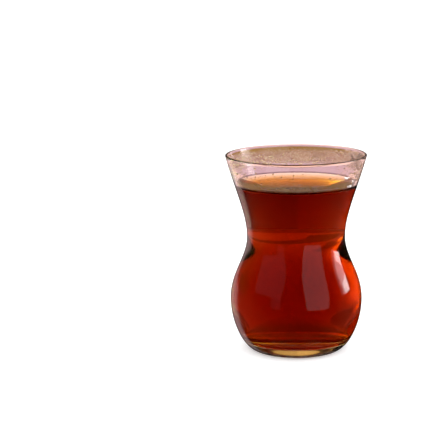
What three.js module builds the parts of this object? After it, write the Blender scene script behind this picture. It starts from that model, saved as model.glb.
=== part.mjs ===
// A waisted tea glass, full of black tea to a little below its flared rim.
// Millimetres, +Z up. The origin is the middle of the foot, on the table, and +Z is the axis of the glass.
import * as THREE from "three";

// Outside of the glass, from the table to the rim
const HEIGHT = 88.5;
const FOOT_RADIUS = 18.8;
const BELLY_RADIUS = 29.6;
const BELLY_HEIGHT = 23;
const WAIST_RADIUS = 22;
const WAIST_HEIGHT = 51.5;
const RIM_RADIUS = 31.5;
const RIM_FLARE = 0.28; // outward lean of the wall at the rim, sideways over upwards

// How far each bend of the wall reaches, as the length of its curve's handle
const FOOT_REACH = 4.6;
const HEEL_REACH = 11.8;
const SHOULDER_REACH = 11.8;
const WAIST_REACH = 9.8;
const FLARE_REACH = 17;

// Wall, floor and the shallow hollow under the foot
const RIM_WALL = 1;
const WAIST_WALL = 1.9;
const BELLY_WALL = 1.9;
const FLOOR_THICKNESS = 5.4;
const FLOOR_RADIUS = 17.5;
const FLOOR_REACH = 5;
const INNER_HEEL_REACH = 10.5;
const HOLLOW_RADIUS = 14.5;
const HOLLOW_DEPTH = 1.1;

// Tea: its level, the climb of its edge up the wall, and the gap that keeps it clear of the glass
const TEA_LEVEL = 74.3;
const EDGE_CLIMB = 1.5;
const EDGE_WIDTH = 8;
const EDGE_POWER = 3; // how fast the climb falls off, inwards from the wall
const TEA_GAP = 0.3;

// Fineness of the faceted solids
const TURN_STEPS = 60;
const WALL_STEPS = 7;
const LIP_STEPS = 4;
const EDGE_STEPS = 4;
const HOLLOW_STEPS = 4;

// One cubic curve from a to b, with its two handles, as points without the first one.
function bend(a, aHandle, bHandle, b, steps) {
  const curve = new THREE.CubicBezierCurve(
    new THREE.Vector2(...a),
    new THREE.Vector2(...aHandle),
    new THREE.Vector2(...bHandle),
    new THREE.Vector2(...b),
  );
  return curve.getPoints(steps).slice(1);
}

// The wall from the bottom bend to the rim, as [radius, height] points, for the outside or the bore.
function wall({ floor, floorHeight, floorReach, heelReach, belly, waist, rim, top }) {
  return [
    new THREE.Vector2(floor, floorHeight),
    ...bend(
      [floor, floorHeight],
      [floor + floorReach, floorHeight],
      [belly, BELLY_HEIGHT - heelReach],
      [belly, BELLY_HEIGHT],
      WALL_STEPS,
    ),
    ...bend(
      [belly, BELLY_HEIGHT],
      [belly, BELLY_HEIGHT + SHOULDER_REACH],
      [waist, WAIST_HEIGHT - WAIST_REACH],
      [waist, WAIST_HEIGHT],
      WALL_STEPS,
    ),
    ...bend(
      [waist, WAIST_HEIGHT],
      [waist, WAIST_HEIGHT + WAIST_REACH],
      [rim - RIM_FLARE * FLARE_REACH, top - FLARE_REACH],
      [rim, top],
      WALL_STEPS,
    ),
  ];
}

const LIP_RADIUS = RIM_WALL / 2;
const LIP_HEIGHT = HEIGHT - LIP_RADIUS;

const outside = wall({
  floor: FOOT_RADIUS,
  floorHeight: 0,
  floorReach: FOOT_REACH,
  heelReach: HEEL_REACH,
  belly: BELLY_RADIUS,
  waist: WAIST_RADIUS,
  rim: RIM_RADIUS,
  top: LIP_HEIGHT,
});

// The bore, or the outside of what fills it when gap is not 0.
function bore(gap) {
  return wall({
    floor: FLOOR_RADIUS,
    floorHeight: FLOOR_THICKNESS + gap,
    floorReach: FLOOR_REACH,
    heelReach: INNER_HEEL_REACH,
    belly: BELLY_RADIUS - BELLY_WALL - gap,
    waist: WAIST_RADIUS - WAIST_WALL - gap,
    rim: RIM_RADIUS - RIM_WALL - gap,
    top: LIP_HEIGHT,
  });
}

// The rounded lip, over the top from the outside to the bore.
function lip() {
  const points = [];
  for (let i = 1; i < LIP_STEPS; i++) {
    const angle = (Math.PI * i) / LIP_STEPS;
    points.push(
      new THREE.Vector2(
        RIM_RADIUS - LIP_RADIUS + LIP_RADIUS * Math.cos(angle),
        LIP_HEIGHT + LIP_RADIUS * Math.sin(angle),
      ),
    );
  }
  return points;
}

// The hollow under the foot, a shallow dome from the axis out to the ring that stands on the table.
function hollow() {
  const points = [];
  for (let i = 0; i <= HOLLOW_STEPS; i++) {
    const share = i / HOLLOW_STEPS;
    points.push(new THREE.Vector2(HOLLOW_RADIUS * share, HOLLOW_DEPTH * (1 - share ** 2)));
  }
  return points;
}

// The tea's side from the floor up to the line that its edge climbs to, cut off level there.
function teaSide() {
  const top = TEA_LEVEL + EDGE_CLIMB;
  const side = bore(TEA_GAP);
  const above = side.findIndex((p) => p.y > top);
  const share = (top - side[above - 1].y) / (side[above].y - side[above - 1].y);
  const edge = side[above - 1].clone().lerp(side[above], share);
  return [...side.slice(0, above), edge];
}

// The tea's surface, from its raised edge down to the level middle and in to the axis.
function teaSurface(edge) {
  const points = [];
  for (let i = 1; i <= EDGE_STEPS; i++) {
    const share = i / EDGE_STEPS;
    const climb = EDGE_CLIMB * (1 - share) ** EDGE_POWER;
    points.push(new THREE.Vector2(edge.x - EDGE_WIDTH * share, TEA_LEVEL + climb));
  }
  points.push(new THREE.Vector2(0, TEA_LEVEL));
  return points;
}

// A closed solid turned about Z from a profile of [radius, height] points.
function turned(name, profile, material) {
  const geometry = new THREE.LatheGeometry(profile, TURN_STEPS);
  geometry.rotateX(Math.PI / 2);
  const mesh = new THREE.Mesh(geometry, material);
  mesh.name = name;
  return mesh;
}

const clearGlass = new THREE.MeshStandardMaterial({
  color: 0xf4f1f0,
  roughness: 0.02,
  metalness: 0,
  transparent: true,
  opacity: 0.35,
});
const blackTea = new THREE.MeshStandardMaterial({ color: 0x7a1404, roughness: 0.05, metalness: 0 });

const floorMiddle = new THREE.Vector2(0, FLOOR_THICKNESS);
const glassProfile = [...hollow(), ...outside, ...lip(), ...bore(0).reverse(), floorMiddle];

const side = teaSide();
const teaProfile = [
  new THREE.Vector2(0, FLOOR_THICKNESS + TEA_GAP),
  ...side,
  ...teaSurface(side[side.length - 1]),
];

const teaGlass = new THREE.Group();
teaGlass.add(turned("glass", glassProfile, clearGlass));
teaGlass.add(turned("tea", teaProfile, blackTea));

export default teaGlass;
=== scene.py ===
# %% [markdown]
# # A waisted glass of black tea
# The glass is a single pressed and fire-polished piece, and the tea fills it to a little below the rim. The
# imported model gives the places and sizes. This lesson makes fine surfaces around it: a smooth glass, tea
# that wets the wall, the steam that has settled on the dry part, and a plain pale studio to see them in.

import math
import random

import bmesh
import bpy
from mathutils import Matrix, Vector
from mathutils.geometry import interpolate_bezier


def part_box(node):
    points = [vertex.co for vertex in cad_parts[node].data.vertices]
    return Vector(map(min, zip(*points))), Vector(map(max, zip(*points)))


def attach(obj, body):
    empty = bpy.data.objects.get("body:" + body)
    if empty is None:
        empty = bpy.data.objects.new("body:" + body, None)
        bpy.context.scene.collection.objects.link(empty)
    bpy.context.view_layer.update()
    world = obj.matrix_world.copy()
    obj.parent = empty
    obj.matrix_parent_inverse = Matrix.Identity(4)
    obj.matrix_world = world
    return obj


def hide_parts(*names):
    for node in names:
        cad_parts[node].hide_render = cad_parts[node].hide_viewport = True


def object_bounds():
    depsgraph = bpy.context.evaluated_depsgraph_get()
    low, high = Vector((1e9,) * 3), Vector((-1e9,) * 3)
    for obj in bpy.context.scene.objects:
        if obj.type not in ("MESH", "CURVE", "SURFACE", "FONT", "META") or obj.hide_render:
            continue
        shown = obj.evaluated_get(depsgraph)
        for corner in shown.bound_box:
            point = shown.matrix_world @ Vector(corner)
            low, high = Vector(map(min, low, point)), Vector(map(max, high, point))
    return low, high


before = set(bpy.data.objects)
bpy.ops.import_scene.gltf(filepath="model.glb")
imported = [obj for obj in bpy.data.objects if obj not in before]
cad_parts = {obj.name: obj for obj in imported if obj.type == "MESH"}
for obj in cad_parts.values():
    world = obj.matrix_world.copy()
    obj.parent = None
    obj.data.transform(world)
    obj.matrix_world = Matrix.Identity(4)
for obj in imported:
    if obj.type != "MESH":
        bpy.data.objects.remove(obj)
cad_low, cad_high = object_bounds()
MM = 0.001
print("nodes in the packed model:", len(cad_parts))
print("CAD box in mm", [round(c / MM, 2) for c in (*cad_low, *cad_high)])

# %% [markdown]
# The camera comes first, because the look of glass depends on where it is seen from. The view is from a
# little above, about an arm's length away, with a long lens. The glass stands right of the middle and below
# it, so the camera aims past its left shoulder, and no lens shift is needed. It is held very slightly out
# of level.

# %% Set the camera
VIEW_DISTANCE = 650 * MM
VIEW_ELEVATION = math.radians(12.4)
AIM_LEFT = 36.3 * MM
AIM_HEIGHT = 60.9 * MM
CAMERA_ROLL = math.radians(-0.7)
LENS_MM = 120.7
SENSOR_MM = 36

middle = Vector((0, 0, (cad_low.z + cad_high.z) / 2))
camera = bpy.data.objects.new("camera", bpy.data.cameras.new("camera"))
bpy.context.scene.collection.objects.link(camera)
camera.data.lens = LENS_MM
camera.data.sensor_width = SENSOR_MM
camera.location = middle + VIEW_DISTANCE * Vector((0, -math.cos(VIEW_ELEVATION), math.sin(VIEW_ELEVATION)))
aim = Vector((-AIM_LEFT, 0, AIM_HEIGHT)) - camera.location
level = aim.to_track_quat("-Z", "Y").to_matrix()
camera.rotation_euler = (level @ Matrix.Rotation(CAMERA_ROLL, 3, "Z")).to_euler()
bpy.context.scene.camera = camera
print("camera at", [round(c, 3) for c in camera.location])

# %% [markdown]
# The outline of the glass is a chain of three smooth bends: from the foot round the heel to the belly, from
# the belly up over the shoulder into the waist, and from the waist out to the rim. A Bezier curve draws
# each bend from its two ends and two handles, and neighbours share a direction where they meet, so no bend
# shows a corner. The bore is the same chain, moved in by the thickness of the wall.

# %% Draw the outline of the wall
FOOT_RADIUS = 18.8
FOOT_REACH = 4.6
HEEL_REACH = 11.8
BELLY_RADIUS = 29.6
BELLY_HEIGHT = 23
SHOULDER_REACH = 11.8
WAIST_RADIUS = 22
WAIST_HEIGHT = 51.5
WAIST_REACH = 9.8
RIM_FLARE = 0.28
FLARE_REACH = 17
WALL_STEPS = 40

RIM_RADIUS = cad_high.x / MM
HEIGHT = cad_high.z / MM
RIM_WALL = 1
LIP_RADIUS = RIM_WALL / 2
LIP_HEIGHT = HEIGHT - LIP_RADIUS


def bend(start, start_handle, end_handle, end):
    """The points of one bend as (radius, height) pairs, without its first point."""
    corners = [Vector((r, 0, z)) for r, z in (start, start_handle, end_handle, end)]
    return [(p.x, p.z) for p in interpolate_bezier(*corners, WALL_STEPS + 1)[1:]]


def wall(floor, floor_height, floor_reach, heel_reach, belly, waist, rim):
    """The outline from the floor's edge up to the lip, in millimetres."""
    flare = (rim - RIM_FLARE * FLARE_REACH, LIP_HEIGHT - FLARE_REACH)
    heel = (belly, BELLY_HEIGHT - heel_reach)
    shoulder = (belly, BELLY_HEIGHT + SHOULDER_REACH)
    below_waist = (waist, WAIST_HEIGHT - WAIST_REACH)
    above_waist = (waist, WAIST_HEIGHT + WAIST_REACH)
    return [
        (floor, floor_height),
        *bend((floor, floor_height), (floor + floor_reach, floor_height), heel, (belly, BELLY_HEIGHT)),
        *bend((belly, BELLY_HEIGHT), shoulder, below_waist, (waist, WAIST_HEIGHT)),
        *bend((waist, WAIST_HEIGHT), above_waist, flare, (rim, LIP_HEIGHT)),
    ]


outside = wall(FOOT_RADIUS, 0, FOOT_REACH, HEEL_REACH, BELLY_RADIUS, WAIST_RADIUS, RIM_RADIUS)
print("outline of the wall:", len(outside), "points")

# %% [markdown]
# The wall is thinnest at the rim and a little thicker round the belly, and the floor is thick, which makes
# the glass stand firm. The tea has to touch the wall with no air between, or the wall would look silvered.
# So the bore's outline takes an offset: the glass uses it as it is, and the tea uses it moved a little into
# the wall.

# %% Draw the bore
BELLY_WALL = 1.9
FLOOR_THICKNESS = 5.4
FLOOR_RADIUS = 17.5
FLOOR_REACH = 5
INNER_HEEL_REACH = 10.5


def bore(into_wall=0):
    """The inside outline, or the outside of what fills it when it reaches into the wall."""
    return wall(
        FLOOR_RADIUS,
        FLOOR_THICKNESS - into_wall,
        FLOOR_REACH,
        INNER_HEEL_REACH,
        BELLY_RADIUS - BELLY_WALL + into_wall,
        WAIST_RADIUS - BELLY_WALL + into_wall,
        RIM_RADIUS - RIM_WALL + into_wall,
    )


def up_to(outline, height):
    """The part of an outline below a height, with a last point exactly there."""
    above = next(i for i, (_, z) in enumerate(outline) if z > height)
    (r0, z0), (r1, z1) = outline[above - 1], outline[above]
    share = (height - z0) / (z1 - z0)
    return [*outline[:above], (r0 + share * (r1 - r0), height)]


bore_outline = bore()
print("bore at the rim, radius in mm:", round(bore_outline[-1][0], 2))

# %% [markdown]
# Glass and tea are both turned about the upright axis. One bmesh spin of an outline makes the whole skin,
# as a potter's wheel would. A full turn needs use_merge, and the ring of doubles on the axis is merged as
# well. Spin can leave the skin inside out, so the normals are recalculated before anything uses them.

# %% Turn an outline into a closed skin
TURN_STEPS = 144
MERGE_DISTANCE = 1e-7
FACES_PER_EDGE = 2


def edge_uses(mesh):
    """How many faces use each edge of a mesh."""
    uses = [0] * len(mesh.edges)
    for loop in mesh.loops:
        uses[loop.edge_index] += 1
    return uses


def placed(name, mesh):
    """The object that holds a mesh, at the origin, as part of the glass."""
    piece = bpy.data.objects.new(name, mesh)
    bpy.context.scene.collection.objects.link(piece)
    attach(piece, "root")
    open_edges = sum(1 for uses in edge_uses(mesh) if uses != FACES_PER_EDGE)
    print(name, len(mesh.polygons), "faces,", open_edges, "open edges")
    return piece


def turned(name, outline):
    """A closed, smooth mesh turned about Z from an outline that starts and ends on the axis."""
    bm = bmesh.new()
    verts = [bm.verts.new((r * MM, 0, z * MM)) for r, z in outline]
    edges = [bm.edges.new(pair) for pair in zip(verts, verts[1:])]
    bmesh.ops.spin(
        bm,
        geom=verts + edges,
        cent=(0, 0, 0),
        axis=(0, 0, 1),
        angle=math.tau,
        steps=TURN_STEPS,
        use_merge=True,
    )
    bmesh.ops.remove_doubles(bm, verts=bm.verts, dist=MERGE_DISTANCE)
    bmesh.ops.recalc_face_normals(bm, faces=bm.faces)
    for face in bm.faces:
        face.smooth = True
    mesh = bpy.data.meshes.new(name)
    bm.to_mesh(mesh)
    bm.free()
    return placed(name, mesh)


print("steps in a full turn:", TURN_STEPS)

# %% [markdown]
# The glass is the outside, the rounded lip, the bore turned back down, and the shallow hollow that pressing
# leaves under the foot. The glass stands on the flat ring round that hollow. The bore has a point exactly
# at the edge of the tea and one where the tide line above it ends, so that each finish can stop there.

# %% Make the glass
HOLLOW_RADIUS = 14.5
HOLLOW_DEPTH = 1.1
HOLLOW_STEPS = 12
LIP_STEPS = 12
TIDE_WIDTH = 0.6

TEA_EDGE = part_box("tea")[1].z / MM
TIDE_LINE = TEA_EDGE + TIDE_WIDTH

hollow = [
    (HOLLOW_RADIUS * i / HOLLOW_STEPS, HOLLOW_DEPTH * (1 - (i / HOLLOW_STEPS) ** 2))
    for i in range(HOLLOW_STEPS)
]
lip = [
    (
        RIM_RADIUS - LIP_RADIUS + LIP_RADIUS * math.cos(math.pi * i / LIP_STEPS),
        LIP_HEIGHT + LIP_RADIUS * math.sin(math.pi * i / LIP_STEPS),
    )
    for i in range(1, LIP_STEPS)
]
wet_bore = up_to(bore_outline, TEA_EDGE)
tide_point = up_to(bore_outline, TIDE_LINE)[-1]
dry_bore = [(r, z) for r, z in bore_outline if z > TIDE_LINE]
glass_outline = [
    *hollow,
    (HOLLOW_RADIUS, 0),
    *outside,
    *lip,
    *reversed([*wet_bore, tide_point, *dry_bore]),
    (0, FLOOR_THICKNESS),
]
glass = turned("clear_glass", glass_outline)
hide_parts("glass")

# %% [markdown]
# Tea clings to glass, so its edge climbs the wall a little and the surface dips to a level middle. That rim
# of liquid is a tiny lens, and it draws the fine lines along the edge of the tea. The climb falls off with
# the cube of the distance from the wall, so it runs into the level part with no crease.

# %% Make the tea
TEA_INTO_WALL = 0.15
TEA_LEVEL = 74.3
EDGE_WIDTH = 8
EDGE_POWER = 3
EDGE_STEPS = 24

tea_side = up_to(bore(TEA_INTO_WALL), TEA_EDGE)
edge_radius = tea_side[-1][0]
tea_surface = []
for step in range(1, EDGE_STEPS + 1):
    share = step / EDGE_STEPS
    climb = (TEA_EDGE - TEA_LEVEL) * (1 - share) ** EDGE_POWER
    tea_surface.append((edge_radius - EDGE_WIDTH * share, TEA_LEVEL + climb))
tea_outline = [(0, FLOOR_THICKNESS - TEA_INTO_WALL), *tea_side, *tea_surface, (0, TEA_LEVEL)]
tea = turned("black_tea", tea_outline)
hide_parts("tea")

# %% [markdown]
# Colours are written as sRGB hex, the way a colour picker shows them, and one function turns them into the
# linear numbers that shaders work in. A second function adds one shader node with its settings and its
# links. A third turns the size of a feature into a pattern's scale, and a fourth starts an empty material.

# %% Four helpers for materials
SRGB_KNEE = 0.04045
SRGB_SLOPE = 12.92
SRGB_OFFSET = 0.055
SRGB_POWER = 2.4


def linear(hex_colour):
    """An sRGB hex colour as linear RGBA."""
    shown = [int(hex_colour[i : i + 2], 16) / 255 for i in (1, 3, 5)]
    channels = [
        c / SRGB_SLOPE if c <= SRGB_KNEE else ((c + SRGB_OFFSET) / (1 + SRGB_OFFSET)) ** SRGB_POWER
        for c in shown
    ]
    return (*channels, 1.0)


def add_node(tree, kind, inputs=(), links=(), **settings):
    """Adds one node: settings are its properties, inputs its socket values, links what feeds its sockets."""
    node = tree.nodes.new(kind)
    for name, value in settings.items():
        setattr(node, name, value)
    for name, value in dict(inputs).items():
        node.inputs[name].default_value = value
    for name, source in dict(links).items():
        tree.links.new(source, node.inputs[name])
    return node


def per_metre(size_mm):
    """The scale of a pattern whose features are this big, on Object coordinates in metres."""
    return 1 / (size_mm * MM)


def new_material(name):
    """An empty material and its node tree, ready for nodes."""
    material = bpy.data.materials.new(name)
    material.use_nodes = True
    material.node_tree.nodes.clear()
    return material, material.node_tree


print("a mid grey as linear light:", round(linear("#808080")[0], 3))

# %% [markdown]
# The glass is soda-lime, pressed in a mould and then fire-polished: the flame melts the mould's marks away
# and leaves a hard gloss with a slow, faint waviness. A noise that drives a bump draws that, with no change
# to the shape. The glass has an index of refraction of 1.52.

# %% Clear glass, on the outside
GLASS_IOR = 1.52
WAVE_MM = 17
WAVE_DEPTH = 0.008 * MM

clear_glass, tree = new_material("soda_lime_glass_fire_polished")
place = add_node(tree, "ShaderNodeTexCoord")
wave = add_node(
    tree,
    "ShaderNodeTexNoise",
    {"Scale": per_metre(WAVE_MM), "Detail": 1.0, "Roughness": 0.4},
    {"Vector": place.outputs["Object"]},
)
bump = add_node(
    tree, "ShaderNodeBump", {"Strength": 1.0, "Distance": WAVE_DEPTH}, {"Height": wave.outputs["Fac"]}
)
surface = add_node(
    tree,
    "ShaderNodeBsdfPrincipled",
    {"Base Color": linear("#F9FBFA"), "Roughness": 0.0, "IOR": GLASS_IOR, "Transmission Weight": 1.0},
    {"Normal": bump.outputs["Normal"]},
)
add_node(tree, "ShaderNodeOutputMaterial", links={"Surface": surface.outputs["BSDF"]})
print("glass index of refraction", GLASS_IOR)

# %% [markdown]
# Where tea wets the bore, glass and tea nearly match and almost nothing is reflected, so that skin has a
# black specular tint, which takes away the mirror of a glass-to-air surface and keeps the bending. Just
# above the tea runs a fine brown tide line, where the edge of the tea has dried on the wall. It keeps its
# mirror.

# %% Glass where the tea wets it, and at the tide line
wetted_glass, wetted_tree = new_material("soda_lime_glass_wetted_by_tea")
tide_glass, tide_tree = new_material("soda_lime_glass_with_tide_line")
for tree, colour, tint in ((wetted_tree, "#FFFFFF", "#000000"), (tide_tree, "#A08E90", "#FFFFFF")):
    surface = add_node(
        tree,
        "ShaderNodeBsdfPrincipled",
        {
            "Base Color": linear(colour),
            "Roughness": 0.0,
            "IOR": GLASS_IOR,
            "Transmission Weight": 1.0,
            "Specular Tint": linear(tint),
        },
    )
    add_node(tree, "ShaderNodeOutputMaterial", links={"Surface": surface.outputs["BSDF"]})
print("tide line", TIDE_WIDTH, "mm wide, from", round(TEA_EDGE, 2), "mm up")

# %% [markdown]
# Hot tea steams, and the steam settles on the cool dry wall as a film of droplets too small to see one by
# one. The film scatters light, so the wall turns milky. Its warm pinkish tan is painted light: a painted
# glow that stands in for the warm light of the tea round it. It lies on the far side, starts a few
# millimetres above the tea and grows thin again towards the rim. Each of those limits is a smooth change
# along an axis, and the changes are multiplied. The real beads are finer than can be seen, so they are drawn
# 0.6 mm apart, which is as coarse as they need to be to show.

# %% Steamed glass, for the dry part of the bore
MIST_BEAD_MM = 0.6
MIST_PATCH_MM = 9
MIST_BEAD_DEPTH = 0.010 * MM
MISTED_CLEARNESS = 0.97

steamed_glass, tree = new_material("soda_lime_glass_steamed")
place = add_node(tree, "ShaderNodeTexCoord")
spot = add_node(tree, "ShaderNodeSeparateXYZ", links={"Vector": place.outputs["Object"]})
beads = add_node(
    tree,
    "ShaderNodeTexVoronoi",
    {"Scale": per_metre(MIST_BEAD_MM), "Randomness": 1.0},
    {"Vector": place.outputs["Object"]},
)
blotches = add_node(
    tree,
    "ShaderNodeTexNoise",
    {"Scale": per_metre(MIST_PATCH_MM), "Detail": 2.0},
    {"Vector": place.outputs["Object"]},
)

# Each change: what it follows, where it starts and ends, and the values before and after
mist_changes = {
    "far_side": (spot.outputs["Y"], -18 * MM, 8 * MM, 0, 1),
    "starting": (spot.outputs["Z"], 79 * MM, 81.5 * MM, 0, 1),
    "thinning": (spot.outputs["Z"], 84 * MM, 87.5 * MM, 1, 0.35),
    "between_beads": (beads.outputs["Distance"], 0.25, 0.6, 0, 1),
    "bead_height": (beads.outputs["Distance"], 0, 0.7, 1, 0),
    "blotch_roughness": (blotches.outputs["Fac"], 0.3, 0.7, 0.2, 0.38),
}
# Each product: the two values that are multiplied
mist_products = {
    "belt": ("starting", "thinning"),
    # Milky mist and a painted warm glow lie between the beads
    "mist": ("far_side", "belt"),
    "milky_and_painted_glow": ("mist", "between_beads"),
    "relief": ("mist", "bead_height"),
    "roughness": ("mist", "blotch_roughness"),
}
values = {}
for name, (source, start, end, before, after) in mist_changes.items():
    node = add_node(
        tree,
        "ShaderNodeMapRange",
        {"From Min": start, "From Max": end, "To Min": before, "To Max": after},
        {"Value": source},
        interpolation_type="SMOOTHSTEP",
    )
    values[name] = node.outputs["Result"]
for name, (first, second) in mist_products.items():
    node = add_node(
        tree, "ShaderNodeMath", links={0: values[first], 1: values[second]}, operation="MULTIPLY"
    )
    values[name] = node.outputs["Value"]
print("beads of steam", MIST_BEAD_MM, "mm apart")

# %% [markdown]
# Those values now drive one shader. Between the beads the mist turns the wall milky and tints it with a
# painted warm glow that stands in for the tea's light. It raises the beads themselves as a bump, roughens
# the glass in slow blotches and lets a little less light through.

# %% The shader of the steamed glass
# Milky white with a painted warm glow, which stands in for the light of the tea
mist_and_painted_glow_colour = add_node(
    tree,
    "ShaderNodeMix",
    {"A": linear("#FDF6F6"), "B": linear("#CAB4AE")},
    {"Factor": values["milky_and_painted_glow"]},
    data_type="RGBA",
)
bead_bump = add_node(
    tree, "ShaderNodeBump", {"Strength": 1.0, "Distance": MIST_BEAD_DEPTH}, {"Height": values["relief"]}
)
clearness = add_node(
    tree,
    "ShaderNodeMapRange",
    {"From Min": 0, "From Max": 1, "To Min": 1, "To Max": MISTED_CLEARNESS},
    {"Value": values["mist"]},
    interpolation_type="SMOOTHSTEP",
)
surface = add_node(
    tree,
    "ShaderNodeBsdfPrincipled",
    {"IOR": GLASS_IOR},
    {
        "Base Color": mist_and_painted_glow_colour.outputs["Result"],
        "Roughness": values["roughness"],
        "Transmission Weight": clearness.outputs["Result"],
        "Normal": bead_bump.outputs["Normal"],
    },
)
add_node(tree, "ShaderNodeOutputMaterial", links={"Surface": surface.outputs["BSDF"]})
print("nodes in the steamed glass:", len(tree.nodes))

# %% [markdown]
# The glass carries the four finishes as four slots. A face belongs to the bore if it looks towards the
# axis, or up from the floor, and the bore changes finish at the heights where the tea and its tide line
# end.

# %% Give each face of the glass its finish
FINISHES = (clear_glass, wetted_glass, tide_glass, steamed_glass)
OUTER, WETTED, TIDE, STEAMED = range(len(FINISHES))
BORE_TOLERANCE = 1e-9


def finish_of(face):
    """The slot of a face, by which way it looks and how high it is."""
    outward = Vector((face.center.x, face.center.y, 0))
    height = face.center.z / MM
    if face.normal.dot(outward) > BORE_TOLERANCE or height < FLOOR_THICKNESS / 2:
        return OUTER
    if height < TEA_EDGE:
        return WETTED
    return TIDE if height < TIDE_LINE else STEAMED


for material in FINISHES:
    glass.data.materials.append(material)
for face in glass.data.polygons:
    face.material_index = finish_of(face)
for index, material in enumerate(FINISHES):
    print(material.name, sum(1 for f in glass.data.polygons if f.material_index == index), "faces")

# %% [markdown]
# Black tea is a clear liquid. Its colour is all in its depth: each millimetre takes away a share of the
# blue, a smaller share of the green and a little of the red, so a thin layer is orange and a deep one is
# dark red. A volume absorption does exactly that. The surface has water's index of refraction, 1.333, and
# no roughness.

# %% Black tea
WATER_IOR = 1.333
TEA_ABSORPTION_PER_METRE = 300

tea_material, tree = new_material("brewed_black_tea")
surface = add_node(
    tree,
    "ShaderNodeBsdfPrincipled",
    {
        "Base Color": linear("#FFFFFF"),
        "Roughness": 0.0,
        "IOR": WATER_IOR,
        "Transmission Weight": 1.0,
        "Specular Tint": linear("#000000"),
    },
)
depth = add_node(
    tree, "ShaderNodeVolumeAbsorption", {"Color": linear("#F1CC00"), "Density": TEA_ABSORPTION_PER_METRE}
)
add_node(
    tree,
    "ShaderNodeOutputMaterial",
    links={"Surface": surface.outputs["BSDF"], "Volume": depth.outputs["Volume"]},
)
tea.data.materials.append(tea_material)
print("tea takes away up to", TEA_ABSORPTION_PER_METRE, "per metre")

# %% [markdown]
# Drops and bubbles are both small balls. Each set of them is one joined mesh, and each ball has only a few
# faces, because there are many. One ball is made first, and its points and faces are copied to every place.

# %% One small ball, and a mesh of many
BALL_ROUNDS = 1

bm = bmesh.new()
bmesh.ops.create_icosphere(bm, subdivisions=BALL_ROUNDS, radius=1)
ball_points = [v.co.copy() for v in bm.verts]
ball_faces = [[v.index for v in face.verts] for face in bm.faces]
bm.free()


def balls(name, places):
    """One piece made of many balls, from each one's centre and radius in millimetres."""
    points, faces = [], []
    for centre, radius in places:
        faces += [[len(points) + index for index in face] for face in ball_faces]
        points += [(centre + radius * point) * MM for point in ball_points]
    mesh = bpy.data.meshes.new(name)
    mesh.from_pydata(points, [], faces)
    mesh.shade_smooth()
    return placed(name, mesh)


print("a ball has", len(ball_faces), "faces")

# %% [markdown]
# Some of the steam gathers into drops that can be seen, most of them a fraction of a millimetre across.
# Each is a ball sunk halfway into the wall. They lie in five patches, one along the far side, three at the
# right and a wide one at the left, because steam settles unevenly. The cube of a random number makes small
# drops common and large ones rare.

# %% Droplets of condensed steam
DROP_COUNT = 2800
DROP_SMALLEST = 0.1
DROP_SPREAD = 0.4
DROP_POWER = 3
DROP_SEED = 11
# Each patch: its bearing and spread in degrees, and its lowest and highest drops in millimetres
PATCHES = (
    (92, 34, 79.5, 84),
    (26, 12, 80, 87.5),
    (22, 10, 82, 87.5),
    (-16, 15, 78, 86),
    (160, 60, 78, 86),
)

draw = random.Random(DROP_SEED)
drops_on_wall = []
for _ in range(DROP_COUNT):
    bearing, spread, lowest, highest = draw.choice(PATCHES)
    angle = math.radians(draw.gauss(bearing, spread))
    height = draw.uniform(lowest, highest)
    radius = DROP_SMALLEST + DROP_SPREAD * draw.random() ** DROP_POWER
    reach = up_to(bore_outline, height)[-1][0]
    centre = Vector((math.cos(angle), math.sin(angle), 0)) * reach + Vector((0, 0, height))
    drops_on_wall.append((centre, radius))
drops = balls("steam_droplets", drops_on_wall)

drop_material, tree = new_material("condensed_water")
surface = add_node(
    tree,
    "ShaderNodeBsdfPrincipled",
    {"Base Color": linear("#FFFFFF"), "Roughness": 0.0, "IOR": WATER_IOR, "Transmission Weight": 1.0},
)
add_node(tree, "ShaderNodeOutputMaterial", links={"Surface": surface.outputs["BSDF"]})
drops.data.materials.append(drop_material)

# %% [markdown]
# Pouring leaves a few bubbles, which gather where the surface climbs the wall. Each is a ball that floats
# more than half out of the tea. A cluster of them is near white: partly the white of foam, and partly
# painted glints that stand in for light caught on the edge of the tea.

# %% Bubbles at the edge of the tea
BUBBLE_SPREAD = 0.55
BUBBLE_SMALLEST = 0.2
BUBBLE_LARGEST = 0.6
# Each cluster: its bearing in degrees, its distance from the axis in millimetres, and its bubbles
BUBBLE_CLUSTERS = ((22, 25.6, 7), (-1, 26.3, 7), (-33, 27.6, 9))

bubbles_on_tea = []
for bearing, reach, count in BUBBLE_CLUSTERS:
    angle = math.radians(bearing)
    climb = (TEA_EDGE - TEA_LEVEL) * max(0, 1 - (edge_radius - reach) / EDGE_WIDTH) ** EDGE_POWER
    for _ in range(count):
        radius = draw.uniform(BUBBLE_SMALLEST, BUBBLE_LARGEST)
        centre = Vector((math.cos(angle) * reach, math.sin(angle) * reach, TEA_LEVEL + climb))
        centre += Vector((draw.gauss(0, BUBBLE_SPREAD), draw.gauss(0, BUBBLE_SPREAD), radius / 2))
        bubbles_on_tea.append((centre, radius))
bubbles = balls("tea_bubbles", bubbles_on_tea)

# Near-white foam, partly painted glints of light on the edge of the tea
foam_and_glint_material, tree = new_material("foam_and_painted_glints")
surface = add_node(
    tree,
    "ShaderNodeBsdfPrincipled",
    {"Base Color": linear("#FBF4F4"), "Roughness": 0.1, "IOR": WATER_IOR, "Transmission Weight": 0.2},
)
add_node(tree, "ShaderNodeOutputMaterial", links={"Surface": surface.outputs["BSDF"]})
bubbles.data.materials.append(foam_and_glint_material)

# %% [markdown]
# The studio is a plain white floor in a soft even light. Clear glass shows only what is round it, so it
# needs more than white to look at. Everything in the studio is matt, flat and hidden from mirrored rays, or
# it would lie over the tea as a grey veil. The floor also glows a little, so that hardly a shadow shows on
# it.

# %% Matt materials and studio pieces
# Where the raised strip's painted shade fades to the cloth's pink, in metres behind the axis
STRIP_FADE_START = 0.050
STRIP_FADE_END = 0.070


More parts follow.
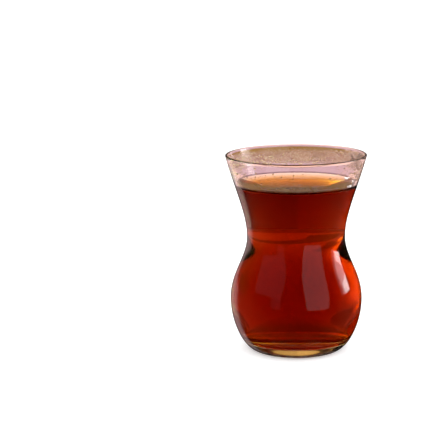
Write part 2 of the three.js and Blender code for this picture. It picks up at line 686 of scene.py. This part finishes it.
def matt(name, colour, faded=None, glow=0.0):
    """A matt material for the studio. It can glow, or fade to a second colour away from the glass."""
    material, tree = new_material(name)
    surface = add_node(
        tree,
        "ShaderNodeBsdfPrincipled",
        {
            "Base Color": linear(colour),
            "Roughness": 0.9,
            "Specular IOR Level": 0.1,
            "Emission Color": linear(colour),
            "Emission Strength": glow,
        },
    )
    add_node(tree, "ShaderNodeOutputMaterial", links={"Surface": surface.outputs["BSDF"]})
    # The raised strip uses this: painted shade near the glass fades to the cloth's lit pink farther off
    if faded:
        place = add_node(tree, "ShaderNodeTexCoord")
        spot = add_node(tree, "ShaderNodeSeparateXYZ", links={"Vector": place.outputs["Object"]})
        away = add_node(
            tree,
            "ShaderNodeMapRange",
            {"From Min": STRIP_FADE_START, "From Max": STRIP_FADE_END},
            {"Value": spot.outputs["Y"]},
        )
        both = add_node(
            tree,
            "ShaderNodeMix",
            {"A": linear(colour), "B": linear(faded)},
            {"Factor": away.outputs["Result"]},
            data_type="RGBA",
        )
        tree.links.new(both.outputs["Result"], surface.inputs["Base Color"])
    return material


def stage_piece(name, bm, material):
    """A piece of the studio, which isn't part of the object and isn't mirrored in it."""
    mesh = bpy.data.meshes.new(name)
    bm.to_mesh(mesh)
    bm.free()
    mesh.materials.append(material)
    piece = bpy.data.objects.new(name, mesh)
    piece.visible_glossy = False
    bpy.context.scene.collection.objects.link(piece)
    return piece


print("the strip fades from", STRIP_FADE_START, "to", STRIP_FADE_END, "m behind the axis")

# %% [markdown]
# Four simple shapes are enough for the studio: a disc for the floor and the cloth, a ring for the cloth's
# shaded edge, a patch with any corners for a sheet of painted shade, and a low upright board of painted
# shade. All are in metres.

# %% Shapes for the studio
FLOOR_SPAN = 6.0
FLOOR_SEGMENTS = 96
FLOOR_DROP = -0.2 * MM
FLOOR_GLOW = 0.4
SHADE_HEIGHT = 1 * MM


def disc(radius, height=0):
    """A flat disc round the glass."""
    bm = bmesh.new()
    bmesh.ops.create_circle(bm, cap_ends=True, radius=radius, segments=FLOOR_SEGMENTS)
    bmesh.ops.translate(bm, verts=bm.verts, vec=(0, 0, height))
    return bm


def ring(inner, outer):
    """A flat ring round the glass."""
    bm = bmesh.new()
    for radius in (inner, outer):
        bmesh.ops.create_circle(bm, radius=radius, segments=FLOOR_SEGMENTS)
    bmesh.ops.bridge_loops(bm, edges=bm.edges)
    return bm


def patch(corners, height=SHADE_HEIGHT):
    """A flat patch with these corners, just above the cloth."""
    bm = bmesh.new()
    bm.faces.new([bm.verts.new((x, y, height)) for x, y in corners])
    return bm


def board(start, end, height):
    """A low upright board from one spot to another."""
    bm = bmesh.new()
    corners = ((*start, 0), (*end, 0), (*end, height), (*start, height))
    bm.faces.new([bm.verts.new(corner) for corner in corners])
    return bm


white_paper = matt("matte_white_paper", "#FAFAFA", glow=FLOOR_GLOW)
floor = stage_piece("floor", disc(FLOOR_SPAN, FLOOR_DROP), white_paper)
floor.visible_transmission = False
print("floor to", FLOOR_SPAN, "m")

# %% [markdown]
# Light that has passed through the glass meets a pink cloth instead of the floor. On the cloth lie sheets
# of painted shade, grey and greyed pink: one close behind the foot, a raised strip over it whose painted
# shade fades to pink, an arc farther back on the left, and a wide one across, farther off still. A low
# grey board of painted shade stands at the right. The tea turns them upside down and crosses them over,
# and they draw the dark shapes low in the belly.

# %% The cloth that shows through the glass
CLOTH_RADIUS = 0.38
FAR_CLOTH_RADIUS = 0.53
STRIP_HEIGHT = 5 * MM
BOARD_HEIGHT = 8 * MM
# The board and the patches are painted shade, seen only through the glass
BOARD_ENDS = ((0.060, 0.145), (0.125, 0.105))
SHADE_BEHIND_FOOT = ((-0.020, 0.030), (0.017, 0.030), (0.017, 0.060), (-0.016, 0.056))
RAISED_PAINTED_SHADE_STRIP = ((-0.014, 0.033), (0.016, 0.033), (0.012, 0.063), (-0.010, 0.063))
SHADE_ARC = (
    (-0.012, 0.097),
    (-0.018, 0.0965),
    (-0.026, 0.099),
    (-0.034, 0.100),
    (-0.044, 0.103),
    (-0.056, 0.120),
    (-0.056, 0.152),
    (-0.042, 0.150),
    (-0.030, 0.124),
    (-0.018, 0.112),
    (-0.012, 0.107),
)
SHADE_ACROSS = (
    (0.07, 0.13),
    (-0.02, 0.172),
    (-0.045, 0.165),
    (-0.13, 0.20),
    (-0.17, 0.235),
    (-0.17, 0.27),
    (-0.055, 0.31),
    (-0.03, 0.30),
    (-0.015, 0.222),
    (0.07, 0.16),
)
CLOTH_COLOUR = "#FBCCC3"
# The grey of the painted shade
PAINTED_SHADE_GREY = "#B8B0B0"

pink_cloth = matt("pink_cotton_cloth", CLOTH_COLOUR)
far_cloth = matt("pink_cotton_cloth_in_shade", "#C8A0AA")
# Sheets of painted shade, grey and greyed pink, and one whose painted shade fades to the cloth's pink
grey_painted_shade = matt("painted_shade_grey_sheet", PAINTED_SHADE_GREY)
pink_painted_shade = matt("painted_shade_pink_sheet", "#C8B0AB")
fading_painted_shade = matt("painted_shade_grey_sheet_fading_to_pink", PAINTED_SHADE_GREY, CLOTH_COLOUR)
seen_through_glass = bpy.data.collections.new("seen_through_glass")
for name, shape, material in (
    ("cloth", disc(CLOTH_RADIUS), pink_cloth),
    ("far_cloth", ring(CLOTH_RADIUS, FAR_CLOTH_RADIUS), far_cloth),
    ("shade_behind_foot", patch(SHADE_BEHIND_FOOT), grey_painted_shade),
    ("raised_painted_shade_strip", patch(RAISED_PAINTED_SHADE_STRIP, STRIP_HEIGHT), fading_painted_shade),
    ("shade_arc", patch(SHADE_ARC), pink_painted_shade),
    ("painted_shade_board", board(*BOARD_ENDS, BOARD_HEIGHT), grey_painted_shade),
    ("shade_across", patch(SHADE_ACROSS), grey_painted_shade),
):
    piece = stage_piece(name, shape, material)
    piece.visible_camera = False
    piece.visible_diffuse = False
    piece.visible_shadow = False
    seen_through_glass.objects.link(piece)
print("cloth to", CLOTH_RADIUS, "and", FAR_CLOTH_RADIUS, "m")

# %% [markdown]
# The sky answers each kind of ray in its own way. Rays straight from the camera and rays off matt surfaces
# meet plain white, which makes the even light. Rays that have passed through glass meet a tan room with a
# golden shelf in it, brighter on the left, dim on the camera's side, under a pale ceiling. Mirrored rays
# meet near darkness, except low down behind on the left, where the pale table shows in the edge of the
# glass. Every part of that room is a smooth fade along X, Y or Z of the ray's direction, and the fades are
# brought together by multiplying them or by taking the larger one.

# %% The fades that shape the room
world = bpy.data.worlds.new("studio")
bpy.context.scene.world = world
world.use_nodes = True
world.cycles.sampling_method = "NONE"
tree = world.node_tree
tree.nodes.clear()
direction = add_node(tree, "ShaderNodeTexCoord")
parts = add_node(tree, "ShaderNodeSeparateXYZ", links={"Vector": direction.outputs["Generated"]})
ray = add_node(tree, "ShaderNodeLightPath")

# Each fade: the part of the direction, where it starts and ends, and the values before and after
room_fades = {
    "ceiling": ("Z", 0.6, 0.8, 0, 1),
    "shelf_foot": ("Z", 0.03, 0.08, 0, 1),
    "shelf_top": ("Z", 0.24, 0.31, 1, 0),
    "wall_foot": ("Z", -0.135, -0.09, 0.62, 1.1),
    "wall_left": ("X", -0.75, -0.45, 1.9, 1),
    "wall_behind_left": ("X", -0.035, 0, 1.22, 1),
    "wall_right": ("X", 0.42, 0.62, 1, 0.5),
    "ceiling_light": ("Z", 0.62, 0.82, 1, 2.2),
    "wall_front": ("Y", -0.2, 0.2, 0.15, 1),
    "table_edge": ("Z", -0.06, 0.04, 1, 0.03),
    "table_left": ("X", -0.55, -0.15, 1, 0),
    "table_behind": ("Y", 0.5, 0.64, 0, 1),
}
# Each join: how its values are brought together, and the values
room_joins = {
    "shelf": ("MULTIPLY", "shelf_foot", "shelf_top"),
    "front": ("MAXIMUM", "ceiling", "wall_front"),
    "room_light": (
        "MULTIPLY",
        "wall_foot",
        "wall_left",
        "wall_behind_left",
        "wall_right",
        "ceiling_light",
        "front",
    ),
    "table_light": ("MULTIPLY", "table_edge", "table_left", "table_behind"),
    "plain_ray": ("MAXIMUM", "camera_ray", "diffuse_ray"),
}
values = {"camera_ray": ray.outputs["Is Camera Ray"], "diffuse_ray": ray.outputs["Is Diffuse Ray"]}
for name, (part, start, end, before, after) in room_fades.items():
    node = add_node(
        tree,
        "ShaderNodeMapRange",
        {"From Min": start, "From Max": end, "To Min": before, "To Max": after},
        {"Value": parts.outputs[part]},
        interpolation_type="SMOOTHSTEP",
    )
    values[name] = node.outputs["Result"]
for name, (operation, first, *others) in room_joins.items():
    total = values[first]
    for other in others:
        node = add_node(tree, "ShaderNodeMath", links={0: total, 1: values[other]}, operation=operation)
        total = node.outputs["Value"]
    values[name] = total
print("fades in the room:", len(room_fades))

# %% [markdown]
# Three backgrounds are made from those values, the room, the table as a mirrored ray meets it, and plain
# white. The kind of ray then picks one of them.

# %% The sky of light
PLAIN_LIGHT = 1.3

lower_colour = add_node(
    tree,
    "ShaderNodeMix",
    {"A": linear("#CD9B53"), "B": linear("#C08D33")},
    {"Factor": values["shelf"]},
    data_type="RGBA",
)
wall_colour = add_node(
    tree,
    "ShaderNodeMix",
    {"B": linear("#D8CECE")},
    {"Factor": values["ceiling"], "A": lower_colour.outputs["Result"]},
    data_type="RGBA",
)
room = add_node(
    tree,
    "ShaderNodeBackground",
    links={"Color": wall_colour.outputs["Result"], "Strength": values["room_light"]},
)
mirrored = add_node(
    tree, "ShaderNodeBackground", {"Color": linear("#E8C4C2")}, {"Strength": values["table_light"]}
)
plain = add_node(tree, "ShaderNodeBackground", {"Color": linear("#FFFFFF"), "Strength": PLAIN_LIGHT})
mirrored_or_room = add_node(
    tree,
    "ShaderNodeMixShader",
    links={
        0: ray.outputs["Is Transmission Ray"],
        1: mirrored.outputs["Background"],
        2: room.outputs["Background"],
    },
)
sky = add_node(
    tree,
    "ShaderNodeMixShader",
    links={
        0: values["plain_ray"],
        1: mirrored_or_room.outputs["Shader"],
        2: plain.outputs["Background"],
    },
)
add_node(tree, "ShaderNodeOutputWorld", links={"Surface": sky.outputs["Shader"]})
print("even light", PLAIN_LIGHT)

# %% [markdown]
# Soft boxes draw the reflections. The shoulder of the glass leans back, so it mirrors what is high, and the
# belly and the waist mirror what is low: the lower edge of a box shows twice, as the top and as the bottom
# of its reflection. A tall window stands on the front right. The bright box at the right is three boxes,
# one inside another, so that its edge is soft. Two weak ones stand on the front left. A box is given by the
# angles that it fills, seen from the glass, where azimuth 0 is the camera's side and 90 is the right.

# %% The soft boxes
BOX_DISTANCE = 1.0
# Each box: its azimuths, its elevations, both in degrees, and its brightness
SOFT_BOXES = {
    "window_front": ((16, 60), (-11, 48), 0.55),
    "box_right_wide": ((86, 112), (2, 30), 0.6),
    "box_right_middle": ((92, 111), (2, 30), 2.4),
    "box_right_core": ((96, 110), (3, 13), 4.5),
    "window_left": ((-80, -26), (10, 45), 0.13),
    "window_left_low": ((-44, -26), (-10, 10), 0.08),
}


def span(angles):
    """The length that fills two angles in degrees, at the distance of the boxes."""
    return 2 * BOX_DISTANCE * math.tan(math.radians(angles[1] - angles[0]) / 2)


for name, (azimuths, elevations, brightness) in SOFT_BOXES.items():
    azimuth = math.radians(sum(azimuths) / 2)
    elevation = math.radians(sum(elevations) / 2)
    flat = math.cos(elevation)
    away = Vector((math.sin(azimuth) * flat, -math.cos(azimuth) * flat, math.sin(elevation)))
    lamp = bpy.data.lights.new(name, "AREA")
    lamp.shape = "RECTANGLE"
    lamp.size = span(azimuths)
    lamp.size_y = span(elevations)
    lamp.energy = brightness * math.pi * lamp.size * lamp.size_y
    box = bpy.data.objects.new(name, lamp)
    box.location = middle + BOX_DISTANCE * away
    box.rotation_euler = away.to_track_quat("Z", "Y").to_euler()
    box.visible_camera = False
    bpy.context.scene.collection.objects.link(box)
print("soft boxes:", len(SOFT_BOXES))

# %% [markdown]
# Pools of light on the cloth behind the glass at the left are what the right edge of the tea shows, because
# the tea turns the view upside down and crosses it over. They are green-yellow, which the red tea turns to
# orange. Each is a spot lamp with a fully soft rim. Light linking keeps them to the cloth, and gives the
# bubbles a small white lamp of their own from above.

# %% Pools of light
LAMP_HEIGHT = 0.30
LAMP_SIZE = 0.01
POOL_LAMP_AWAY = Vector((-0.124, 0.154, 0))
POOL_COLOUR = (0.5, 1.05, 0.25)
BUBBLE_SPOT = Vector((0.024, 0, TEA_EDGE * MM))
BUBBLE_LAMP_AWAY = Vector((0, -0.1, 0))
WHITE_LIGHT = (1, 1, 1)

on_tea = bpy.data.collections.new("on_the_tea")
on_tea.objects.link(bubbles)
# Each lamp: the spot it lights, which way it stands, its cone in degrees, watts, colour and what it lights
spot_lamps = {
    "pool_near": (Vector((-0.042, 0.058, 0)), POOL_LAMP_AWAY, 13, 56, POOL_COLOUR, seen_through_glass),
    "pool_far": (Vector((-0.090, 0.116, 0)), POOL_LAMP_AWAY, 9, 75, POOL_COLOUR, seen_through_glass),
    "lamp_on_bubbles": (BUBBLE_SPOT, BUBBLE_LAMP_AWAY, 20, 12, WHITE_LIGHT, on_tea),
}
for name, (lit_spot, away, cone, watts, colour, receivers) in spot_lamps.items():
    lamp = bpy.data.lights.new(name, "SPOT")
    lamp.spot_size = math.radians(cone)
    lamp.spot_blend = 1.0
    lamp.energy = watts
    lamp.color = colour
    lamp.shadow_soft_size = LAMP_SIZE
    light = bpy.data.objects.new(name, lamp)
    light.location = lit_spot + away + Vector((0, 0, LAMP_HEIGHT))
    light.rotation_euler = (light.location - lit_spot).to_track_quat("Z", "Y").to_euler()
    light.visible_camera = False
    light.visible_glossy = False
    light.visible_transmission = False
    light.light_linking.receiver_collection = receivers
    bpy.context.scene.collection.objects.link(light)
print("spot lamps:", len(spot_lamps))

# %% [markdown]
# A ray that goes through glass and tea crosses many surfaces, so it is allowed more bounces than usual. The
# Standard view keeps white white and the tea saturated.

# %% Bounces and view
BOUNCES = 24
MIRROR_BOUNCES = 8

scene = bpy.context.scene
scene.cycles.max_bounces = BOUNCES
scene.cycles.transmission_bounces = BOUNCES
scene.cycles.glossy_bounces = MIRROR_BOUNCES
scene.view_settings.view_transform = "Standard"
print("bounces", BOUNCES)
